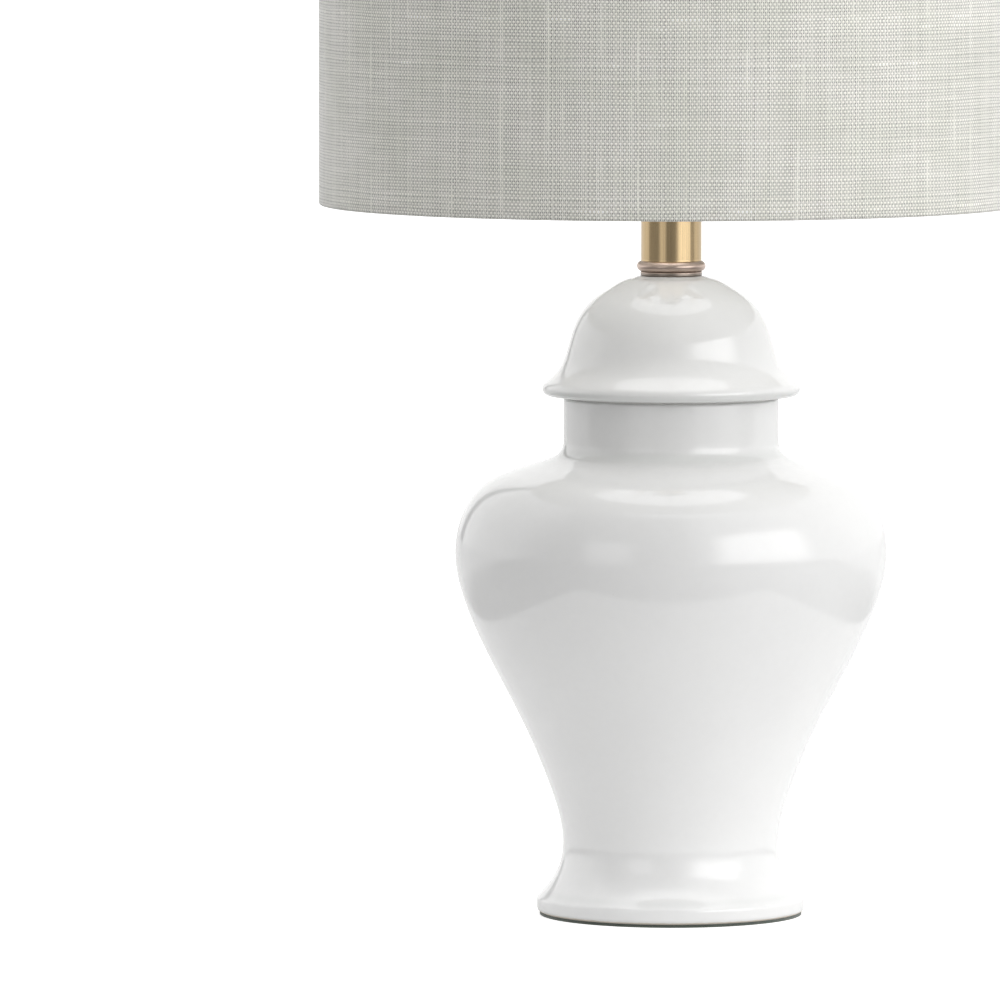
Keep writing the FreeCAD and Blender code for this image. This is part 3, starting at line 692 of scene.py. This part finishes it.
def lid_section():
    """The lid's closed section: underside, outside and inside."""
    under = rounded_run([LID_SIDE[-1], (69.8, 281.9, 3.8), (52.5, 281.9), (52.5, 272.9, 1.0),
                         (LID_INSIDE[0][0], 272.9), LID_INSIDE[0]])
    top = rounded_run([LID_INSIDE[-1], (PIPE_HOLE, LID_INSIDE[-1][1]), (PIPE_HOLE, 346.7), (17.7, 346.7),
                       LID_SIDE[0]])
    line = joined(smooth_run(LID_SIDE, (12, -1.5), (0, -1), 1.5), finely(under, 2.0),
                  smooth_run(LID_INSIDE, (0, 1), (-1, 0.12), 4.0), finely(top, 3.0))
    return line[::-1]


def thrown(swell):
    """Slow waves that a thrown wall keeps, as a bulge on outer faces."""
    def bulge(turn, height, radius):
        wave = (np.sin(3 * turn + height / 31.0) + 0.7 * np.sin(2 * turn - height / 19.0 + 1.0)
                + 0.5 * np.sin(5 * turn + height / 11.0 + 2.0) * np.cos(height / 23.0))
        return wave * swell / MM * np.clip((radius - 55.0) / 10.0, 0.0, 1.0) / 2.0
    return bulge


class LAMP_OT_jar(Operator):
    """Make the glazed jar and its lid"""
    bl_idname = "lamp.jar"
    bl_label = "Jar and lid"

    def execute(self, context):
        s = context.scene.lamp_jar
        glaze = glaze_finish(s)
        jar = turned("jar", jar_section(), s.segments, bulge=thrown(s.swell))
        bored(jar, (0, 0.050, 0.015), (0, 0.080, 0.015), 4.6 * MM)
        placed(jar, "base", "glaze", glaze, "jar_foot", "jar_body", "jar_neck")
        lid = turned("lid", lid_section(), s.segments, bulge=thrown(s.swell))
        placed(lid, "base", "glaze", glaze, "jar_lid")
        return {"FINISHED"}


class LAMP_OT_base_fittings(Operator):
    """Finish the felt, gaskets, bushing, pipe, washers and nut under the jar"""
    bl_idname = "lamp.base_fittings"
    bl_label = "Base fittings"

    def execute(self, context):
        paint(mottled("felt", (0.055, 0.075, 0.060), (0.085, 0.105, 0.085), 90.0, 2600.0, 0.96, 0.06,
                      0.00035, dust=0.05, **{"Sheen Weight": 0.4, "Sheen Roughness": 0.6}), "foot_felt")
        paint(mottled("rubber", (0.030, 0.030, 0.031), (0.050, 0.049, 0.047), 120.0, 1800.0, 0.72, 0.15,
                      0.00004, dust=0.25), "base_gasket")
        paint(mottled("pale_rubber", (0.86, 0.85, 0.83), (0.80, 0.79, 0.77), 120.0, 1800.0, 0.6, 0.15,
                      0.00004, dust=0.1), "lid_gasket")
        paint(mottled("bushing", (0.70, 0.69, 0.66), (0.62, 0.61, 0.58), 160.0, 1500.0, 0.42, 0.12,
                      0.00002, dust=0.15), "cord_bushing")
        paint(lined("zinc_steel", (900, 900, 900), (0.60, 0.61, 0.62), (0.42, 0.43, 0.44), 0.36, 0.25,
                    0.00002, dust=0.2), "base_washer", "lock_washer", "base_nut", "socket_set_screw")
        paint(threaded("pipe_steel", (0.60, 0.58, 0.52), (0.42, 0.40, 0.35), 0.34, THREAD_27,
                       PIPE_THREAD_RADIUS),
              "lamp_pipe")
        return {"FINISHED"}


class LAMP_OT_neck(Operator):
    """Finish the brass tube, bead, ring and cap of the neck"""
    bl_idname = "lamp.neck"
    bl_label = "Brass neck"

    def execute(self, context):
        s = context.scene.lamp_brass
        bright = tuple(min(1.0, 1.12 * c) for c in s.satin)
        paint(lined("satin_brass", (2400, 2400, 26), s.satin, tuple(0.78 * c for c in s.satin), s.roughness,
                    0.10, 0.000004, dust=0.05, levels=(0.3553, 0.4043), worn=bright), "neck_tube", "neck_cap")
        paint(lined("bronzed_brass", (70, 70, 2600), s.bronzed, tuple(0.80 * c for c in s.bronzed), 0.30,
                    0.16, 0.000015), "neck_bead")
        # Painted shade: the ring is the bead's brass darkened, as it lies in the bead's shadow.
        paint(lined("ring_brass", (70, 70, 2600), s.ring, tuple(0.72 * c for c in s.ring), 0.33, 0.16,
                    0.000015, levels=(0.3486,), worn=s.bronzed, width=0.0005), "neck_base_ring")
        return {"FINISHED"}


class LAMP_OT_harp(Operator):
    """Finish the harp, its saddle, ferrules, crown and stud"""
    bl_idname = "lamp.harp"
    bl_label = "Harp"

    def execute(self, context):
        aged = context.scene.lamp_brass.aged
        paint(lined("harp_brass", (420, 420, 420), aged, tuple(0.66 * c for c in aged), 0.34, 0.25, 0.00002,
                    dust=0.15), "harp", "harp_crown", "harp_ferrule_left", "harp_ferrule_right",
              "harp_saddle", "saddle_nut")
        paint(threaded("stud_brass", aged, tuple(0.66 * c for c in aged), 0.30, THREAD_27,
                       STUD_THREAD_RADIUS, STUD_FLANGE_TOP),
              "harp_stud")
        return {"FINISHED"}


class LAMP_OT_socket(Operator):
    """Finish the socket, its switch and what is inside it"""
    bl_idname = "lamp.socket"
    bl_label = "Socket and switch"

    def execute(self, context):
        paint(lined("socket_brass", (80, 80, 1700), (0.70, 0.56, 0.32), (0.50, 0.38, 0.20), 0.26, 0.2,
                    0.00001, dust=0.12, levels=(0.4355, 0.4640), worn=(0.82, 0.68, 0.42)),
              "socket_cap", "socket_shell", "terminal_screws", "centre_contact")
        paint(mottled("fibre", (0.46, 0.36, 0.24), (0.36, 0.27, 0.17), 70.0, 1200.0, 0.8, 0.1, 0.00005),
              "socket_liner")
        paint(mottled("phenolic", (0.035, 0.030, 0.028), (0.060, 0.052, 0.048), 140.0, 1400.0, 0.38, 0.2,
                      0.00002), "switch_body", "bulb_tip_insulator")
        paint(lined("steel_stem", (1600, 60, 1600), (0.62, 0.62, 0.60), (0.45, 0.45, 0.44), 0.3, 0.2,
                    0.00001), "switch_stem")
        paint(mottled("knob_plastic", (0.030, 0.026, 0.024), (0.045, 0.040, 0.036), 90.0, 2200.0, 0.33,
                      0.22, 0.000015, dust=0.12), "switch_knob")
        return {"FINISHED"}


class LAMP_OT_bulb(Operator):
    """Finish the lamp bulb"""
    bl_idname = "lamp.bulb"
    bl_label = "Bulb"

    def execute(self, context):
        paint(lined("cap_metal", (70, 70, 1500), (0.72, 0.72, 0.72), (0.52, 0.52, 0.53), 0.28, 0.2,
                    0.00001, dust=0.05), "bulb_cap", "bulb_contact", "socket_screw_shell")
        paint(mottled("bulb_white", (0.80, 0.80, 0.79), (0.77, 0.77, 0.75), 60.0, 1500.0, 0.42, 0.12,
                      0.000012, dust=0.15), "bulb_housing")
        paint(mottled("bulb_frost", (0.88, 0.875, 0.86), (0.84, 0.835, 0.815), 40.0, 2400.0, 0.36, 0.12,
                      0.000012, dust=0.2, **{"Subsurface Weight": 0.25, "Subsurface Scale": 0.004}),
              "bulb_diffuser")
        paint(mottled("board", (0.62, 0.64, 0.62), (0.50, 0.52, 0.50), 200.0, 1800.0, 0.5, 0.15, 0.00002),
              "led_board", "bulb_driver")
        paint(mottled("led", (0.82, 0.66, 0.16), (0.74, 0.58, 0.12), 400.0, 3000.0, 0.3, 0.1, 0.00001),
              "led_chips")
        return {"FINISHED"}


def shade_line():
    """The linen's section: turned in at the bottom, rolled round the lower ring, up the outside,
    rolled round the upper ring and turned in again."""
    roll = smooth_run(SHADE_ROLL, (0, -1), (0, 1), 0.8)
    over = np.stack([roll[::-1, 0], 2 * SHADE_MIDDLE - roll[::-1, 1]], axis=1)
    wall = finely(np.array([roll[-1], over[0]]), 9.0)
    return joined(roll, wall[1:-1], over)


def linen_grid(columns, lap):
    """Points of the linen: the section carried once round and a lap further. Past the full turn it
    rises by 0.7 mm along the section's normal, so it lies on its own start; turn-ins are not quite
    even, by a slow wave."""
    line = shade_line()
    slope = np.gradient(line, axis=0)
    slope /= np.linalg.norm(slope, axis=1)[:, None]
    outward = np.stack([slope[:, 1], -slope[:, 0]], axis=1)
    whole = 2 * np.pi * SHADE_RADIUS
    around = np.linspace(0.0, whole + lap / MM, columns)
    turn = np.pi / 2 + around / SHADE_RADIUS
    lift = 0.7 * np.clip((around - whole + 6.0) / 6.0, 0.0, 1.0)
    wave = 0.10 * np.sin(7 * turn) + 0.07 * np.sin(17 * turn + 1.0)
    inside = np.clip((189.4 - line[:, 0]) / 0.6, 0.0, 1.0) * (outward[:, 0] < 0)
    end = np.clip(np.abs(line[:, 1] - SHADE_MIDDLE) - 104.0, 0.0, 30.0) < 20.0
    radius = line[:, :1] + outward[:, :1] * lift + wave * (1 - inside)[:, None] * 0.6
    sag = 0.9 * np.sin(11 * turn + 0.5) * (inside * end)[:, None] * np.sign(line[:, 1:] - SHADE_MIDDLE)
    height = line[:, 1:] + outward[:, 1:] * lift + sag
    grid = np.stack([radius * np.cos(turn), radius * np.sin(turn), height], axis=-1) * MM
    return grid, lengths_along(line) * MM, around * MM


class LAMP_OT_shade(Operator):
    """Make the linen and finish the liner, rings, arms and hub of the shade"""
    bl_idname = "lamp.shade"
    bl_label = "Shade"

    def execute(self, context):
        s = context.scene.lamp_shade
        grid, along, around = linen_grid(s.columns, s.lap)
        linen = skin("linen_drum", grid, along, around, crease=60.0)
        wall = linen.modifiers.new("Thickness", "SOLIDIFY")
        wall.thickness = s.cloth
        wall.offset = -1.0
        placed(linen, "shade", "linen", linen_finish(s), "shade_linen")
        paint(mottled("styrene", (0.88, 0.88, 0.86), (0.85, 0.85, 0.825), 14.0, 900.0, 0.5, 0.12, 0.00001,
                      dust=0.05), "shade_liner")
        paint(mottled("white_wire", (0.78, 0.78, 0.76), (0.72, 0.72, 0.69), 50.0, 1300.0, 0.36, 0.2,
                      0.00002, dust=0.2), "shade_bottom_ring", "shade_top_ring", "spider_arms",
              "spider_hub")
        return {"FINISHED"}


class LAMP_OT_finial(Operator):
    """Finish the finial"""
    bl_idname = "lamp.finial"
    bl_label = "Finial"

    def execute(self, context):
        satin = context.scene.lamp_brass.satin
        paint(lined("finial_brass", (60, 60, 2200), satin, tuple(0.8 * c for c in satin), 0.25, 0.14,
                    0.00001, dust=0.1), "finial_base", "finial_knob")
        return {"FINISHED"}


# ---- studio ------------------------------------------------------------------------------------
# direction round the lamp in degrees, from the camera to the right, and brightness
SURROUND = ((-180, 1.2), (-159, 1.2), (-156, 0.35), (-152, 0.35), (-149, 1.25), (-116, 1.25), (-96, 1.2),
            (-80, 0.70), (-66, 0.42), (-56, 0.42), (-34, 0.40), (-20, 0.24), (7, 0.24), (13, 0.66),
            (26, 0.95), (60, 1.0), (96, 1.05), (130, 1.15), (180, 1.2))
BRIGHTEST = 1.25
# direction, distance, width, height and brightness of the light boxes, which stand on the floor
LIGHT_BOXES = (("key", 50.0, 2.0, 2.7, 1.7, 1.35), ("fill", -34.0, 2.2, 1.4, 1.3, 0.50))


def light_box(name, degrees, distance, width, height, brightness):
    """A soft light that stands upright and faces the lamp, and fades towards its edges. A sheet that
    sends brightness b in every direction from area A gives pi A b watts."""
    lamp = bpy.data.lights.new(name, "AREA")
    lamp.shape = "RECTANGLE"
    lamp.size = width
    lamp.size_y = height
    lamp.energy = math.pi * width * height * brightness
    lamp.use_nodes = True
    w = Wiring(lamp.node_tree)
    across, up, _ = w.split(w.node("ShaderNodeNewGeometry").outputs["Parametric"])
    edges = [w.between(w.sum("ABSOLUTE", w.sum("SUBTRACT", part, 0.5)), 0.5, 0.22, 0.0, 1.3)
             for part in (across, up)]
    sheet = lamp.node_tree.nodes["Emission"]
    w.tree.links.new(w.sum("MULTIPLY", edges[0], edges[1]), sheet.inputs["Strength"])
    box = bpy.data.objects.new(name, lamp)
    turn = math.radians(degrees)
    box.location = (distance * math.sin(turn), -distance * math.cos(turn), height / 2)
    box.rotation_euler = (math.radians(90), 0.0, turn)
    box.visible_camera = False
    bpy.context.scene.collection.objects.link(box)


def studio_world():
    """Soft light from all round, whose brightness depends on the direction round the lamp."""
    world = bpy.data.worlds.new("studio")
    world.use_nodes = True
    world.node_tree.nodes.clear()
    w = Wiring(world.node_tree)
    x, y, z = w.split(w.node("ShaderNodeTexCoord").outputs["Generated"])
    turn = w.sum("ARCTAN2", x, w.sum("MULTIPLY", y, -1.0))
    place_on_ramp = w.sum("MULTIPLY_ADD", turn, 0.5 / math.pi, 0.5)
    ramp = w.node("ShaderNodeValToRGB", {0: place_on_ramp})
    ramp.color_ramp.interpolation = "EASE"
    stops = ramp.color_ramp.elements
    for degrees, _ in SURROUND[1:-1]:
        stops.new(degrees / 360 + 0.5)
    for stop, (_, brightness) in zip(stops, SURROUND):
        stop.color = (brightness / BRIGHTEST,) * 3 + (1.0,)
    around = w.sum("MULTIPLY", ramp.outputs[0], BRIGHTEST)
    above = w.between(z, 0.80, 0.92)
    light = w.sum("ADD", w.sum("MULTIPLY", around, w.sum("SUBTRACT", 1.0, above)),
                  w.sum("MULTIPLY", above, 2.0))
    seen = w.node("ShaderNodeLightPath").outputs["Is Camera Ray"]
    strength = w.sum("ADD", w.sum("MULTIPLY", light, w.sum("SUBTRACT", 1.0, seen)), seen)
    background = w.node("ShaderNodeBackground", {"Color": (1.0, 1.0, 1.0), "Strength": strength})
    output = world.node_tree.nodes.new("ShaderNodeOutputWorld")
    world.node_tree.links.new(background.outputs[0], output.inputs[0])
    bpy.context.scene.world = world


class LAMP_OT_stage(Operator):
    """Make the floor, the light and the camera"""
    bl_idname = "lamp.stage"
    bl_label = "Stage"

    def execute(self, context):
        s = context.scene.lamp_stage
        reach = 30.0
        step = np.linspace(-reach, reach, 9)
        across, deep = np.meshgrid(step, step)
        floor = skin("floor", np.stack([across, deep, np.zeros_like(across)], -1), step, step)
        material, w, shader = new_finish("floor", Roughness=0.9, **{"Emission Color": (1.0, 1.0, 1.0)})
        vector = place(w)
        tone = w.shared(uneven_tone, Vector=vector, Colour=s.floor, Second=tuple(0.99 * c for c in s.floor),
                        Patch=0.7, Fine=9.0, Roughness=0.9, Spread=0.02)
        seen = w.node("ShaderNodeLightPath").outputs["Is Camera Ray"]
        x, y, _ = w.split(vector)
        past_side = w.between(w.sum("ABSOLUTE", x), TABLE_SIDE - TABLE_EDGE, TABLE_SIDE + TABLE_EDGE)
        past_front = w.between(w.sum("MULTIPLY", y, -1.0), TABLE_FRONT - TABLE_EDGE,
                               TABLE_FRONT + TABLE_EDGE)
        ahead = w.between(y, 1.1, 0.2)
        beyond = w.sum("MULTIPLY", w.sum("MAXIMUM", past_side, past_front), ahead)
        dimmed = w.sum("MULTIPLY", beyond, w.sum("SUBTRACT", 1.0, seen))
        shade = w.blend(dimmed, tone["Colour"], s.far_floor)
        w.tree.links.new(shade, shader.inputs["Base Color"])
        w.tree.links.new(w.sum("MULTIPLY", seen, 0.55), shader.inputs["Emission Strength"])
        floor.data.materials.append(material)
        studio_world()
        for light in LIGHT_BOXES:
            light_box(*light)
        lens = bpy.data.cameras.new("camera")
        lens.lens = s.lens
        lens.clip_end = 100.0
        camera = bpy.data.objects.new("camera", lens)
        camera.location = (s.side, -s.distance, s.height)
        aim = Vector((s.side, 0.0, s.aim)) - camera.location
        camera.rotation_euler = aim.to_track_quat("-Z", "Y").to_euler()
        context.scene.collection.objects.link(camera)
        context.scene.camera = camera
        context.scene.view_settings.view_transform = "Standard"
        return {"FINISHED"}


class LAMP_PT_panel(Panel):
    """Lists the steps that make the lamp"""
    bl_idname = "LAMP_PT_panel"
    bl_label = "Table lamp"
    bl_space_type = "VIEW_3D"
    bl_region_type = "UI"
    bl_category = "Lamp"

    def draw(self, context):
        for step in STEPS:
            self.layout.operator(step.bl_idname)
        for name in SETTINGS:
            settings = getattr(context.scene, name)
            for key in settings.__annotations__:
                self.layout.prop(settings, key)


SETTINGS = {
    "lamp_jar": LampJarSettings,
    "lamp_brass": LampBrassSettings,
    "lamp_shade": LampShadeSettings,
    "lamp_stage": LampStageSettings,
}
STEPS = (LAMP_OT_stage, LAMP_OT_jar, LAMP_OT_base_fittings, LAMP_OT_neck, LAMP_OT_harp, LAMP_OT_socket,
         LAMP_OT_bulb, LAMP_OT_shade, LAMP_OT_finial)


def register():
    for kind in (*SETTINGS.values(), *STEPS, LAMP_PT_panel):
        bpy.utils.register_class(kind)
    for name, kind in SETTINGS.items():
        setattr(bpy.types.Scene, name, PointerProperty(type=kind))


def unregister():
    for name in SETTINGS:
        delattr(bpy.types.Scene, name)
    for kind in (LAMP_PT_panel, *reversed(STEPS), *reversed(tuple(SETTINGS.values()))):
        bpy.utils.unregister_class(kind)


def main():
    """Makes everything in order, then writes the CAD box and the visual model's box."""
    register()
    for step in STEPS:
        group, name = step.bl_idname.split(".")
        getattr(getattr(bpy.ops, group), name)()


if __name__ == "__main__":
    main()
